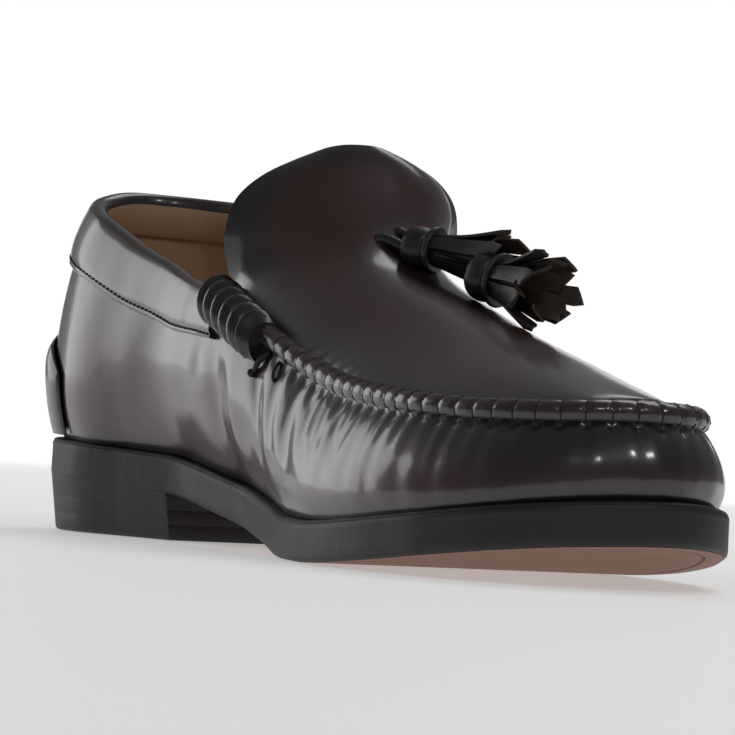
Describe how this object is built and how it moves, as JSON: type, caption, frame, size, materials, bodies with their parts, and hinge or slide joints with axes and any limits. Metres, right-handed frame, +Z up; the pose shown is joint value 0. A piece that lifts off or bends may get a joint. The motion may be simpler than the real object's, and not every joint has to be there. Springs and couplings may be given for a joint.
{
  "type": "tassel loafer",
  "caption": "Leather tassel loafer for the left foot, with a raised apron seam, a high tongue, a padded collar and a block heel",
  "frame": {"origin": "on the ground, under the middle of the shoe's box", "axes": "+X from the heel toward the toe, +Y toward the outer side of the foot, +Z up"},
  "size_m": [0.3028, 0.0976, 0.1111],
  "materials": {
    "black_sole": "satin",
    "tan_leather": "matte",
    "burgundy_leather": "gloss",
    "dark_leather": "gloss"
  },
  "bodies": {
    "root": {"outsole": "black_sole", "heel": "black_sole", "insole": "tan_leather", "upper": "burgundy_leather", "collar_band": "burgundy_leather", "heel_patch": "burgundy_leather", "seam_roll_inner": "dark_leather", "seam_roll_outer": "dark_leather", "tassel_a": "dark_leather", "tassel_b": "dark_leather", "lace_a": "dark_leather", "lace_b": "dark_leather"}
  },
  "joints": []
}
